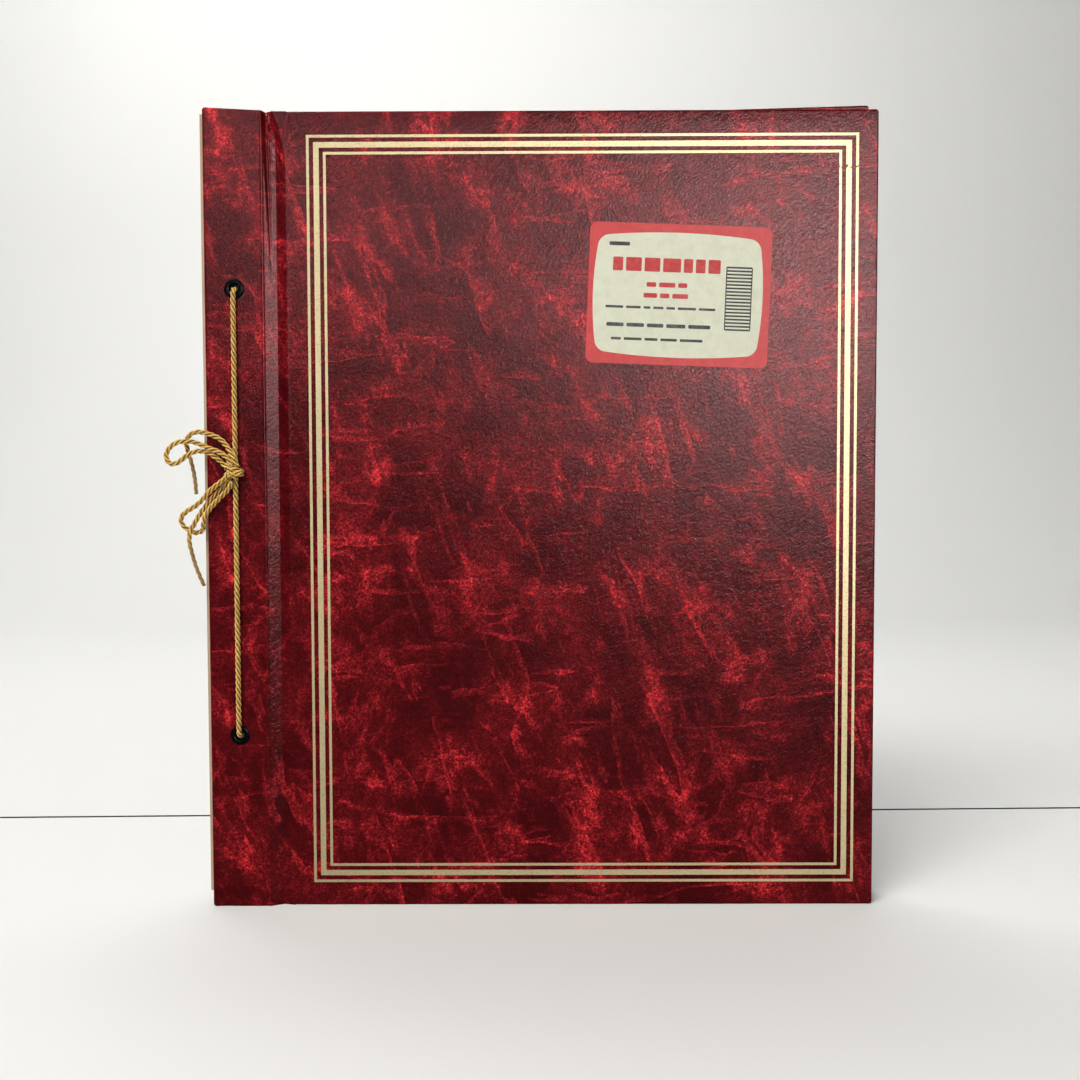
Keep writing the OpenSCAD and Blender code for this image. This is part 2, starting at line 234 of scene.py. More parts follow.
def leatherette():
    """Crushed dark red leatherette: clouds, rubbed patches and streaks, all of fine bright grains."""
    n = Nodes("leatherette")
    clouds = n.noise(n.place(scale=(34, 28, 1), turn=0.5), detail=8, rough=0.66, warp=0.3)
    place = n.place(scale=(74, 52, 1), turn=0.35, shift=(0.3, 0, 0))
    patches = n.noise(place, detail=9, rough=0.69, warp=0.35)
    grains = n.noise(n.place(scale=(850, 850, 1), turn=0.9), detail=2, rough=0.8, warp=0.5)
    dots = n.cells(n.place(scale=(1050, 1050, 1), turn=0.3))
    specks = n.noise(n.place(scale=(300, 300, 1), turn=0.6, shift=(0.9, 0, 0)), detail=4, rough=0.7)
    streaks = crush(n, 0.36, 72, 17, 0.46)
    streaks = n.math("MAXIMUM", streaks, crush(n, 1.60, 100, 20, 0.48, 0.6))
    streaks = n.math("MAXIMUM", streaks, n.math("MULTIPLY", crush(n, -0.45, 60, 20, 0.52, 1.1), 0.7))

    body = n.steps(clouds, 0.34, 0.68)
    bright = n.math("MULTIPLY", n.steps(patches, 0.48, 0.68), n.steps(clouds, 0.40, 0.58))
    tone = n.math("MULTIPLY", body, 0.215)
    tone = n.math("ADD", tone, n.math("MULTIPLY", bright, 0.38))
    tone = n.math("ADD", tone, n.math("MULTIPLY", streaks, 0.42))
    grit = n.steps(grains, 0.34, 0.66, 0.58, 1.32)
    grit = n.math("MULTIPLY", grit, n.steps(specks, 0.32, 0.68, 0.74, 1.26))
    grit = n.math("MULTIPLY", grit, n.steps(dots, 0.15, 0.75, 1.20, 0.75))
    tone = n.math("MULTIPLY", n.math("ADD", tone, 0.07), grit, clamp=True)
    colour = n.ramp(tone, (
        (0.0, (0.026, 0.0006, 0.0013)),
        (0.08, (0.048, 0.0015, 0.0027)),
        (0.25, (0.104, 0.0040, 0.0062)),
        (0.50, (0.245, 0.0105, 0.0148)),
        (1.0, (0.760, 0.0340, 0.0410)),
    ))
    pores = n.cells(n.place(scale=(1350, 1100, 1), turn=0.4))
    creases = n.noise(n.place(scale=(330, 640, 1), turn=0.75), detail=4, rough=0.65, warp=0.9)
    normal = n.bump(pores, 0.00010, 0.5)
    normal = n.bump(creases, 0.00035, 0.5, normal)
    rough = n.math("ADD", n.math("MULTIPLY", creases, 0.12), 0.14)
    return n.finish(colour, rough, normal, specular_ior_level=0.035, specular_tint=(1.0, 0.60, 0.60, 1))


def sheet_paper(name, pale, aged, fibre=900):
    """Matte paper: cloudy ageing, fibres and a few specks."""
    n = Nodes(name)
    where = n.place("Object")
    age = n.noise(where, 14, 5, 0.6, 0.4)
    fibres = n.noise(where, fibre, 3, 0.7)
    specks = n.steps(n.cells(where, 160), 0.10, 0.04)
    colour = n.mix(n.steps(age, 0.35, 0.75), pale, aged)
    colour = n.mix(n.math("MULTIPLY", fibres, 0.16), colour, tuple(0.7 * c for c in aged))
    colour = n.mix(n.math("MULTIPLY", specks, 0.25), colour, (0.30, 0.22, 0.14))
    return n.finish(colour, n.math("ADD", n.math("MULTIPLY", fibres, 0.1), 0.78),
                    n.bump(fibres, 0.00008, 0.4), specular_ior_level=0.05)


def cover_board():
    n = Nodes("cover_board")
    where = n.place("Object")
    pulp = n.noise(where, 700, 5, 0.7)
    flecks = n.steps(n.cells(where, 420), 0.16, 0.05)
    colour = n.mix(n.steps(pulp, 0.3, 0.7), (0.30, 0.23, 0.15), (0.42, 0.34, 0.24))
    colour = n.mix(flecks, colour, (0.12, 0.09, 0.06))
    return n.finish(colour, 0.9, n.bump(pulp, 0.0002, 0.6), specular_ior_level=0.05)


def black_enamel():
    n = Nodes("black_enamel")
    where = n.place("Object")
    wear = n.noise(where, 900, 4, 0.6)
    dust = n.noise(where, 3000, 2, 0.6)
    colour = n.mix(n.steps(wear, 0.62, 0.78), (0.0015, 0.002, 0.0025), (0.010, 0.009, 0.009))
    rough = n.math("ADD", n.math("MULTIPLY", dust, 0.12), 0.22)
    return n.finish(colour, rough, n.bump(wear, 0.00003, 0.4), specular_ior_level=0.01)


def gilt_foil():
    """Pressed foil over leather grain: bright metal with rubbed, duller specks."""
    n = Nodes("gilt_foil")
    rub = n.noise(n.place(scale=(900, 900, 1)), detail=5, rough=0.7)
    broad = n.noise(n.place(scale=(60, 60, 1)), detail=3)
    colour = n.mix(n.steps(rub, 0.5, 0.72), (0.235, 0.188, 0.100), (0.14, 0.085, 0.034))
    colour = n.mix(n.math("MULTIPLY", n.steps(broad, 0.4, 0.7), 0.35), colour, (0.275, 0.225, 0.127))
    rough = n.math("ADD", n.math("MULTIPLY", rub, 0.20), 0.38)
    grain = n.cells(n.place(scale=(1500, 1250, 1), turn=0.4))
    return n.finish(colour, rough, n.bump(grain, 0.00006, 0.6), metallic=0.22, specular_ior_level=0.1)


def printed(name, ink, faded, gloss=0.45):
    """Label paper or print on it: slightly mottled ink with a few rubbed specks."""
    n = Nodes(name)
    where = n.place("Object")
    mottle = n.noise(where, 260, 5, 0.65)
    rubbed = n.steps(n.noise(where, 1400, 3, 0.7), 0.64, 0.76)
    colour = n.mix(n.steps(mottle, 0.35, 0.75), ink, faded)
    colour = n.mix(n.math("MULTIPLY", rubbed, 0.35), colour, tuple(0.75 * c + 0.1 for c in faded))
    rough = n.math("ADD", n.math("MULTIPLY", mottle, 0.15), gloss)
    return n.finish(colour, rough, n.bump(mottle, 0.00005, 0.3), specular_ior_level=0.02)


def twisted_cord():
    """Rayon yarn: golden ochre with painted shade in the grooves between strands, fine fibres, and painted
    shade on the stiffened ends.
    """
    n = Nodes("twisted_cord")
    # UV runs round and along a strand, in metres along it
    fibres = n.noise(n.place(scale=(9, 500, 1)), detail=4, rough=0.7, warp=0.4)
    soil = n.noise(n.place("Object"), 130, 4, 0.6)
    groove_shade = n.attribute("groove_shade")
    tip = n.attribute("tip")
    colour = n.mix(n.steps(fibres, 0.3, 0.75), (0.56, 0.315, 0.050), (0.96, 0.590, 0.160))
    colour = n.mix(n.math("MULTIPLY", n.steps(soil, 0.4, 0.7), 0.4), colour, (0.34, 0.20, 0.036))
    # painted shade: the sides of the strands that face each other are coloured dark brown
    colour = n.mix(n.math("MULTIPLY", groove_shade, 0.92), colour, (0.105, 0.052, 0.004))
    # painted shade: the stiffened ends are coloured darker brown
    colour = n.mix(n.math("MULTIPLY", tip, 0.65), colour, (0.15, 0.085, 0.022))
    rough = n.math("SUBTRACT", 0.52, n.math("MULTIPLY", tip, 0.12))
    return n.finish(colour, rough, n.bump(fibres, 0.00012, 0.8), specular_ior_level=0.06,
                    sheen_weight=0.35, sheen_roughness=0.4)


def plain_stage(name, pale, low):
    """A pale studio surface with the faintest unevenness."""
    n = Nodes(name)
    drift = n.noise(n.place("Object"), 2.5, 3, 0.5)
    return n.finish(n.mix(drift, pale, low), 0.75, specular_ior_level=0.02)


LEATHERETTE = leatherette()
SHEET_PAPER = sheet_paper("sheet_paper", (0.50, 0.36, 0.25), (0.38, 0.26, 0.17))
LINING_PAPER = sheet_paper("lining_paper", (0.80, 0.76, 0.68), (0.72, 0.66, 0.54), 1400)
COVER_BOARD = cover_board()
BLACK_ENAMEL = black_enamel()
GILT_FOIL = gilt_foil()
LABEL_RED = printed("label_red", (0.51, 0.047, 0.047), (0.57, 0.068, 0.063), 0.32)
LABEL_CREAM = printed("label_cream", (0.66, 0.66, 0.52), (0.59, 0.59, 0.46), 0.5)
PRINT_RED = printed("print_red", (0.46, 0.040, 0.042), (0.54, 0.09, 0.08))
PRINT_GREY = printed("print_grey", (0.045, 0.045, 0.045), (0.12, 0.12, 0.115))
TWISTED_CORD = twisted_cord()

# ---- mesh helpers


def make_mesh(name, points, faces, material, uvs=None, smooth=True):
    """A mesh object; uvs has one pair for each point."""
    mesh = bpy.data.meshes.new(name)
    mesh.from_pydata(points, [], faces)
    mesh.materials.append(material)
    if uvs is not None:
        layer = mesh.uv_layers.new(name="UVMap")
        for loop in mesh.loops:
            layer.data[loop.index].uv = uvs[loop.vertex_index]
    mesh.polygons.foreach_set("use_smooth", [smooth] * len(mesh.polygons))
    mesh.update()
    obj = bpy.data.objects.new(name, mesh)
    bpy.context.scene.collection.objects.link(obj)
    return obj


def joined(parts):
    """The points, faces and uvs of several meshes as one."""
    points, faces, uvs = [], [], []
    for part_points, part_faces, part_uvs in parts:
        faces += [tuple(v + len(points) for v in face) for face in part_faces]
        points += part_points
        uvs += part_uvs
    return points, faces, uvs


def point_values(obj, name, values):
    attribute = obj.data.attributes.new(name, "FLOAT", "POINT")
    attribute.data.foreach_set("value", values)


def spread(low, high, step):
    """Evenly spaced places from low to high, about step apart, without the last one."""
    count = max(1, ceil((high - low) / step - 1e-6))
    return [low + (high - low) * i / count for i in range(count)]


def smooth_step(t):
    t = min(max(t, 0.0), 1.0)
    return t * t * (3 - 2 * t)


def wander(x, z, size, seed=0.0):
    """Smooth noise from about -1 to 1 with features of that size."""
    return noise.noise(Vector((x / size, z / size, seed)))


# ---- cord

CORD_D = 2.4 * MM
STRANDS = 3
STRAND_R = 0.52 * MM  # a strand's own radius
STRAND_OUT = 0.70 * MM  # how far a strand's middle is from the cord's
LAY_LENGTH = 8.8 * MM  # length of one full turn of the twist
RING_STEP = 0.6 * MM
STRAND_SIDES = 10
RIM_H = 0.8 * MM  # height of an eyelet's rim
RUN_PROUD = RIM_H + CORD_D / 2 + 0.05 * MM  # from the stub's face to the middle of the cord's run
BEND_R = 2.4 * MM
CURVE_STEPS = 12
BOW_AT = Vector((EYELET_X - 1.7 * MM, -STUB_FACE, UPPER_Z - 84 * MM))
KNOT_Z = BOW_AT.z + 1.4 * MM

# The bow's routes, as in part.scad: [right, in front of the stub, up] from its origin, in millimetres
UPPER_LOOP = (
    (0.9, 4.8, 3.8), (-1.3, 4.4, 7.7), (-5.1, 3.4, 10.3), (-9.6, 2.6, 12), (-13.4, 2.4, 13.7),
    (-17.2, 2.2, 15), (-21, 2.2, 15.4), (-25, 2.2, 14.6), (-28.3, 2.4, 12), (-29.4, 2.8, 8.4),
    (-27.6, 3.2, 5.4), (-24.2, 3.2, 5.6), (-20.4, 2.6, 8.6), (-16.1, 1.8, 10.8),
    (-11.1, 1.6, 10.4), (-7.4, 1.8, 8.2), (-3.9, 2.4, 5.4), (-1.6, 3.2, 2.8),
)
UPPER_TAIL = (
    (3.4, 4.4, 3.6), (1.8, 4.8, 7.2), (-0.2, 4, 10.8), (-2.6, 2.4, 13.8), (-5.8, 1.6, 16.7),
    (-11, 1.6, 18.9), (-15.3, 1.2, 19.6), (-19.2, 0.2, 18.4), (-21.3, -0.8, 15.4),
    (-21, -1.6, 11.8), (-19.8, -2, 7), (-18.6, -2, 2), (-17.8, -2, -3.6), (-17.5, -1.9, -8.6),
)
LOWER_LOOP = (
    (-1.6, 4.4, -0.8), (-5.9, 3.6, -4.2), (-9.6, 3.2, -7), (-12.9, 3.2, -10.8),
    (-16.4, 3.2, -14), (-20.2, 2.6, -16.2), (-23, 2, -18.8), (-23.2, 1, -22.2),
    (-20.6, 0, -24.8), (-17.2, -0.4, -26.2), (-14.2, 0.2, -25), (-13.4, 1.2, -21.8),
    (-12.4, 1.7, -18.4), (-9.6, 2, -14.4), (-5.9, 2.4, -10.6), (-1.8, 3, -6.8), (1, 4.2, -2.8),
)
LOWER_TAIL = (
    (-0.5, 1.6, -2.6), (-5, 1.5, -6.4), (-8.8, 1.5, -9.8), (-11.9, 1.5, -13.6),
    (-15, 1.6, -18), (-17.4, 2.2, -22.2), (-19, 3, -26), (-19.4, 3, -30), (-18.6, 2.2, -35),
    (-17.4, 1.4, -40.4), (-15.4, 1.2, -46), (-13.4, 1.3, -50.4),
)


def in_bow(p):
    return BOW_AT + Vector((p[0], -p[1], p[2])) * MM


def curve_through(points, closed=False):
    """Evenly spaced points along a smooth curve through the given ones."""
    n = len(points)
    dense = []
    for i in range(n if closed else n - 1):
        if closed:
            p = [points[(i + k) % n] for k in (-1, 0, 1, 2)]
        else:
            p = [points[min(max(i + k, 0), n - 1)] for k in (-1, 0, 1, 2)]
        for s in range(CURVE_STEPS):
            t = s / CURVE_STEPS
            dense.append(0.5 * (2 * p[1] + (p[2] - p[0]) * t + (2 * p[0] - 5 * p[1] + 4 * p[2] - p[3]) * t * t
                                + (3 * p[1] - p[0] - 3 * p[2] + p[3]) * t ** 3))
    dense.append(points[0] if closed else points[-1])
    along = [0.0]  # distance along the curve
    for a, b in zip(dense, dense[1:]):
        along.append(along[-1] + (b - a).length)
    count = max(2, round(along[-1] / RING_STEP))
    out, k = [], 0
    for i in range(count + 1):
        s = along[-1] * i / count
        while k < len(along) - 2 and along[k + 1] < s:
            k += 1
        t = (s - along[k]) / max(along[k + 1] - along[k], 1e-12)
        out.append(dense[k].lerp(dense[k + 1], t))
    return out, along[-1]


def frames_along(path, closed=False):
    """A direction and two crosswise axes at each point, turning as little as possible."""
    n = len(path)
    ways = []
    for i in range(n):
        a, b = path[max(i - 1, 0)], path[min(i + 1, n - 1)]
        if closed and i in (0, n - 1):
            a, b = path[n - 2], path[1]
        ways.append((b - a).normalized())
    side = ways[0].cross(Vector((0, 1, 0)))
    if side.length < 0.1:
        side = ways[0].cross(Vector((0, 0, 1)))
    side.normalize()
    out = []
    for way in ways:
        side = (side - way * side.dot(way)).normalized()
        out.append((way, side, way.cross(side)))
    return out


def rope(name, path, start_turn=0.0, closed=False, tip=0.0):
    """Three strands twisted round a path; the last tip metres are stiffened and narrower."""
    frames = frames_along(path, closed)
    total = sum((b - a).length for a, b in zip(path, path[1:]))
    twist = 2 * pi * total / LAY_LENGTH
    if closed:  # a whole number of thirds of a turn, so that the strands meet
        first, last = frames[0], frames[-1]
        slip = atan2(last[1].dot(first[2]), last[1].dot(first[1]))
        third = 2 * pi / STRANDS
        twist = round((twist + slip) / third) * third - slip
    points, uvs, faces, groove_shade, tips = [], [], [], [], []
    around = STRAND_SIDES
    for strand in range(STRANDS):
        first_point = len(points)
        for i, (p, (way, side, up)) in enumerate(zip(path, frames)):
            share = i / (len(path) - 1)
            a = start_turn - twist * share + 2 * pi * strand / STRANDS
            left_over = total * (1 - share)
            stiff = smooth_step((tip - left_over) / (0.4 * tip)) if tip else 0.0
            thin = 1 - 0.16 * stiff
            if tip and left_over < 0.5 * MM:
                thin *= 0.8
            out = side * cos(a) + up * sin(a)
            middle = p + out * STRAND_OUT * thin * (1 - 0.12 * stiff)
            cross = way.cross(out).normalized()
            for k in range(around):
                b = 2 * pi * k / around
                ray = out * cos(b) + cross * sin(b)
                points.append(middle + ray * STRAND_R * thin)
                uvs.append((k / around, total * share + 0.31 * strand))
                # groove_shade marks painted shade on the side of each strand that faces the others
                groove_shade.append(smooth_step((0.5 - cos(b)) / 0.85) * (1 - 0.6 * stiff))
                # the tip values also darken the ends' colour, as painted shade
                tips.append(stiff)
        n = len(path)
        for i in range(n - 1):
            for k in range(around):
                q = first_point + i * around
                k2 = (k + 1) % around
                faces.append((q + k, q + k2, q + around + k2, q + around + k))
        if not closed:
            faces.append(tuple(first_point + k for k in reversed(range(around))))
            faces.append(tuple(first_point + (n - 1) * around + k for k in range(around)))
    obj = make_mesh(name, points, faces, TWISTED_CORD, uvs)
    point_values(obj, "groove_shade", groove_shade)
    point_values(obj, "tip", tips)
    return obj


def lacing_path():
    """Out of the upper eyelet, down the front, through, up the back and through again."""
    y = STUB_FACE + RUN_PROUD
    path = [Vector((EYELET_X, -y, KNOT_Z))]
    for z in spread(KNOT_Z, LOWER_Z + BEND_R, -8 * MM)[1:]:
        path.append(Vector((EYELET_X, -y, z)))
    path += bend_points(-1, LOWER_Z, -1, y)
    path += [Vector((EYELET_X, t, LOWER_Z)) for t in (-5 * MM, 0, 5 * MM)]
    path += reversed(bend_points(1, LOWER_Z, -1, y))
    for z in spread(LOWER_Z + BEND_R + 6 * MM, UPPER_Z - BEND_R - 6 * MM, 8 * MM):
        path.append(Vector((EYELET_X, y, z)))
    path += bend_points(1, UPPER_Z, 1, y)
    path += [Vector((EYELET_X, t, UPPER_Z)) for t in (5 * MM, 0, -5 * MM)]
    path += reversed(bend_points(-1, UPPER_Z, 1, y))
    for z in spread(UPPER_Z - BEND_R - 6 * MM, KNOT_Z, -8 * MM)[:-1]:
        path.append(Vector((EYELET_X, -y, z)))
    return path


def bend_points(side, z, end, y):
    """The bend over an eyelet's rim, from the run along the cover to the hole."""
    out = []
    for k in range(5):
        a = pi / 2 * k / 4
        at_y = side * (y - BEND_R + BEND_R * cos(a))
        out.append(Vector((EYELET_X, at_y, z - end * BEND_R * (1 - sin(a)))))
    return out


def lacing():
    path, _ = curve_through(lacing_path(), closed=True)
    cord = rope("lacing_cord_twisted", path, closed=True)
    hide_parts("lacing_cord")
    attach(cord, "binding")


def bow_part(name, route, start_turn, tip=0.0):
    path, length = curve_through([in_bow(p) for p in route])
    cord = rope(name + "_twisted", path, start_turn, tip=tip)
    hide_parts(name)
    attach(cord, "binding")


def knot():
    """The knot: two crossing wraps and one strand over them, drawn tight round the lacing."""
    wraps = []
    # each wrap: centre, half width across, half depth, tilt about Y and about Z
    for centre, wide, deep, tilt, turn in (
        ((1.6, 3.3, 2.6), 3.4, 2.2, 0.28, 0.0),
        ((1.4, 3.3, 0.3), 3.6, 2.3, -0.12, 0.1),
        ((0.3, 3.7, 1.6), 3.3, 2.5, 0.95, -0.2),
        ((-0.2, 3.4, 0.6), 2.6, 2.2, -1.0, 0.2),
    ):
        ring = []
        for k in range(12):
            a = 2 * pi * k / 12
            p = Vector((wide * cos(a), deep * sin(a), 0))
            p.rotate(Matrix.Rotation(tilt, 3, "Y"))
            p.rotate(Matrix.Rotation(turn, 3, "Z"))
            ring.append(in_bow(Vector(centre) + p))
        path, _ = curve_through(ring, closed=True)
        wraps.append(rope(f"bow_knot_wrap_{len(wraps) + 1}", path, closed=True))
    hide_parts("bow_knot")
    for w in wraps:
        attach(w, "binding")


lacing()
knot()
bow_part("bow_upper_loop", UPPER_LOOP, 0.4)
bow_part("bow_lower_loop", LOWER_LOOP, 1.3)
bow_part("bow_upper_tail", UPPER_TAIL, 0.9, tip=24 * MM)
bow_part("bow_lower_tail", LOWER_TAIL, 2.0, tip=26 * MM)

# ---- covers

CORNER_R = 1.6 * MM
EDGE_R = 0.9 * MM
EDGE_STEPS = [0, 0.12 * MM, 0.35 * MM, 0.7 * MM, 1.1 * MM, 1.6 * MM, 2.4 * MM]
CHANNEL_DEEP = 1.0 * MM  # deepest part of the channel below the panel's face
CHANNEL_FLOOR = 5.4 * MM  # from the stub's edge to the deepest part
STEP = STUB_FACE - PANEL_FACE
EDGE_DROOP, EDGE_DROOP_W = 0.24 * MM, 7 * MM  # how the panel's top edge bends back
FOLD_H, SECOND_FOLD_H = 75 * MM, 45 * MM  # how far down the channel's folds reach
CREASE_H = 70 * MM  # how far up its lower creases reach


def lip_x(z):
    """Where the channel meets the panel; near the top edge it curves in towards the stub."""
    from_top = COVER_H - z
    return PANEL_X - 0.4 * MM - 6 * MM * (1 - min(from_top / (26 * MM), 1)) ** 1.7


def line(x, at, half):
    """1 on a line, falling to 0 at its edges."""
    return max(0.0, 1 - abs(x - at) / half)


def channel_folds(x, z):
    """Small folds and wrinkles in the hinge channel: depth below the smooth surface."""
    from_top = COVER_H - z
    depth = 0.0
    if from_top < FOLD_H:
        down = from_top / FOLD_H
        fade = 1 - down
        depth += 1.5 * MM * fade * line(x, STUB_EDGE + (1.0 + 2.4 * down) * MM, 0.6 * MM * (1 + fade))
        # a second, shorter fold beside it
        if from_top < SECOND_FOLD_H:
            depth += 0.45 * MM * fade * line(x, STUB_EDGE + (3.0 + 1.6 * down) * MM, 0.7 * MM)
    if z < CREASE_H:
        fade = 1 - z / CREASE_H
        for at in (PANEL_X - 3.3 * MM, PANEL_X - 1.3 * MM):
            depth += 0.16 * MM * fade * line(x, at + 0.4 * MM * wander(x, z, 30 * MM), 0.6 * MM)
    across = (x - STUB_EDGE) / (PANEL_X - STUB_EDGE)
    if -0.1 < across < 1.0:
        near_end = smooth_step(1 - min(from_top, z) / (60 * MM))
        slant = wander(x * 2.2 + z, (z - x) * 0.5, 2.6 * MM, 3.0)
        depth += (0.04 + 0.30 * near_end) * MM * slant * sin(pi * min(max(across, 0), 1)) ** 0.5
    if from_top < 22 * MM and PANEL_X - 2 * MM < x < PANEL_X + 28 * MM:
        # wrinkles that fan out over the panel from the top of the channel
        fade = (1 - from_top / (22 * MM)) * (1 - (x - PANEL_X + 2 * MM) / (30 * MM))
        depth += 0.42 * MM * fade * wander(x * 0.25 + from_top, from_top * 2.4 + x, 1.5 * MM, 6.0)
    return depth


def outer_depth(x, z):
    """How far the cover's outer surface lies below the stub's face."""
    lip = lip_x(z)
    floor = min(STUB_EDGE + CHANNEL_FLOOR, lip - 3 * MM)
    deepest = STEP + CHANNEL_DEEP
    if x <= STUB_EDGE - 0.6 * MM:
        depth = 0.0
    elif x < floor:
        t = (x - STUB_EDGE + 0.6 * MM) / (floor - STUB_EDGE + 0.6 * MM)
        depth = deepest * t * smooth_step(6 * t)
    elif x < lip:
        t = (x - floor) / (lip - floor)
        depth = deepest - (CHANNEL_DEEP + 0.07 * MM) * t
    else:
        depth = STEP - 0.07 * MM * max(0, 1 - (x - lip) / (1.2 * MM))
    from_top = COVER_H - z
    if x > PANEL_X and from_top < EDGE_DROOP_W:
        depth += EDGE_DROOP * (1 - from_top / EDGE_DROOP_W) ** 1.6
    bead = 0.20 * MM * line(x, STUB_EDGE - 0.5 * MM, 0.6 * MM)
    slow = 0.07 * MM * wander(x, z, 45 * MM, 7.0) + 0.03 * MM * wander(x, z, 14 * MM, 9.0)
    return depth - bead + slow + channel_folds(x, z)


def inner_depth(x, z):
    """How far the inside of the cover lies below the stub's face."""
    if x < STUB_EDGE - 0.2 * MM:
        return BOARD_T
    if x < PANEL_X + 0.2 * MM:
        return outer_depth(x, z) + FLEX_T
    return STEP + BOARD_T


def rounded_corner(x, z, left, right, top):
    """Moves a point of a square-cornered grid onto the cover's rounded outline."""
    cx = min(max(x, left + CORNER_R), right - CORNER_R)
    cz = min(max(z, CORNER_R), top - CORNER_R)
    a, b = (x - cx) / CORNER_R, (z - cz) / CORNER_R
    if a == 0 or b == 0:
        return x, z
    return cx + CORNER_R * a * sqrt(1 - b * b / 2), cz + CORNER_R * b * sqrt(1 - a * a / 2)


def roll(distance, radius):
    """How far a rounded edge has dropped at this distance in from the outline."""
    if distance >= radius:
        return 0.0
    return radius - sqrt(max(radius ** 2 - (radius - distance) ** 2, 0))


HOLE_FIELD = 3.0 * MM  # half the square of grid cells given up to an eyelet's hole
SKIN_HOLE_R = 2.3 * MM


def rows_past_eyelets(low, high, step):
    """Rows that include the edges of the squares round the eyelets' holes."""
    out = []
    for z in (LOWER_Z, UPPER_Z):
        out += spread(low, z - HOLE_FIELD, step) + spread(z - HOLE_FIELD, z + HOLE_FIELD, 1.5 * MM)
        low = z + HOLE_FIELD
    return out + spread(low, high, step)


def near_eyelet(x, z):
    """The eyelet's height if a grid cell's middle is in the square round its hole."""
    for at in (LOWER_Z, UPPER_Z):
        if abs(x - EYELET_X) < HOLE_FIELD and abs(z - at) < HOLE_FIELD:
            return at
    return None


def cover_skin(name, side, panel_body, *nodes):
    """One continuous cover: stub, hinge channel and panel, closed round its edges.

    side is -1 for the front cover and 1 for the back cover, whose top edge rises to BACK_RISE.
    """
    rise = BACK_RISE if side > 0 else 0.0
    columns = [COVER_LEFT + s for s in EDGE_STEPS]
    columns += spread(COVER_LEFT + 4 * MM, EYELET_X - HOLE_FIELD, 2 * MM)
    columns += spread(EYELET_X - HOLE_FIELD, EYELET_X + HOLE_FIELD, 1.5 * MM)
    columns += spread(EYELET_X + HOLE_FIELD, STUB_EDGE - 1.5 * MM, 2 * MM)
    columns += spread(STUB_EDGE - 1.5 * MM, PANEL_X + 3 * MM, 0.3 * MM)
    columns += spread(PANEL_X + 3 * MM, PANEL_X + 28 * MM, 1.2 * MM)
    columns += spread(PANEL_X + 28 * MM, COVER_RIGHT - 4 * MM, 3 * MM)
    columns += [COVER_RIGHT - s for s in reversed(EDGE_STEPS)]
    rows = EDGE_STEPS + spread(4 * MM, 60 * MM, 1.6 * MM)
    rows += rows_past_eyelets(60 * MM, COVER_H - 62 * MM, 2.6 * MM)
    rows += spread(COVER_H - 62 * MM, COVER_H - 4 * MM, 0.8 * MM)
    rows += [COVER_H - s for s in reversed(EDGE_STEPS)]

    nx, nz = len(columns), len(rows)
    points, uvs = [], []

    def add_point(x, z, inside, edge=1.0):
        outer, inner = outer_depth(x, z), inner_depth(x, z)
        radius = min(EDGE_R, 0.48 * (inner - outer))
        depth = inner - roll(edge, 0.7 * radius) if inside else outer + roll(edge, radius)
        share = max(0.0, (x - PANEL_X) / (COVER_RIGHT - PANEL_X))
        stub_share = max(0.0, (STUB_EDGE - x) / STUB_W)
        z *= 1 + (rise * share + STUB_RISE * stub_share) / COVER_H
        points.append((x, side * (STUB_FACE - depth), z))
        uvs.append((x + side * 0.7, z + (0.9 if inside else 0.0)))

    for inside in (False, True):
        for z0 in rows:
            for x0 in columns:
                x, z = rounded_corner(x0, z0, COVER_LEFT, COVER_RIGHT, COVER_H)
                add_point(x, z, inside, min(x0 - COVER_LEFT, COVER_RIGHT - x0, z0, COVER_H - z0))

    def at(inside, j, i):
        return (nz * nx if inside else 0) + j * nx + i

    faces, holes = [], {LOWER_Z: [], UPPER_Z: []}
    for j in range(nz - 1):
        for i in range(nx - 1):
            hole = near_eyelet((columns[i] + columns[i + 1]) / 2, (rows[j] + rows[j + 1]) / 2)
            if hole is not None:
                holes[hole].append((i, j))
                continue
            faces.append((at(0, j, i), at(0, j, i + 1), at(0, j + 1, i + 1), at(0, j + 1, i)))
            faces.append((at(1, j, i), at(1, j + 1, i), at(1, j + 1, i + 1), at(1, j, i + 1)))
    for z, cells in holes.items():
        i0, i1 = min(c[0] for c in cells), max(c[0] for c in cells) + 1
        j0, j1 = min(c[1] for c in cells), max(c[1] for c in cells) + 1
        rim = [(i, j0) for i in range(i0, i1)] + [(i1, j) for j in range(j0, j1)]
        rim += [(i, j1) for i in range(i1, i0, -1)] + [(i0, j) for j in range(j1, j0, -1)]
        first = len(points)
        for inside in (False, True):
            for i, j in rim:
                a = atan2(rows[j] - z, columns[i] - EYELET_X)
                add_point(EYELET_X + SKIN_HOLE_R * cos(a), z + SKIN_HOLE_R * sin(a), inside)
        n = len(rim)
        for k in range(n):
            k2 = (k + 1) % n
            (i, j), (i2, j2) = rim[k], rim[k2]
            faces.append((at(0, j, i), at(0, j2, i2), first + k2, first + k))
            faces.append((at(1, j2, i2), at(1, j, i), first + n + k, first + n + k2))
            faces.append((first + k, first + k2, first + n + k2, first + n + k))
    for i in range(nx - 1):
        faces.append((at(0, 0, i + 1), at(0, 0, i), at(1, 0, i), at(1, 0, i + 1)))
        faces.append((at(0, nz - 1, i), at(0, nz - 1, i + 1), at(1, nz - 1, i + 1), at(1, nz - 1, i)))
    for j in range(nz - 1):
        faces.append((at(0, j, 0), at(0, j + 1, 0), at(1, j + 1, 0), at(1, j, 0)))
        faces.append((at(0, j + 1, nx - 1), at(0, j, nx - 1), at(1, j, nx - 1), at(1, j + 1, nx - 1)))
    if side > 0:
        faces = [f[::-1] for f in faces]
    skin = make_mesh(name, points, faces, LEATHERETTE, uvs)
    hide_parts(*nodes)
    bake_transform(skin)


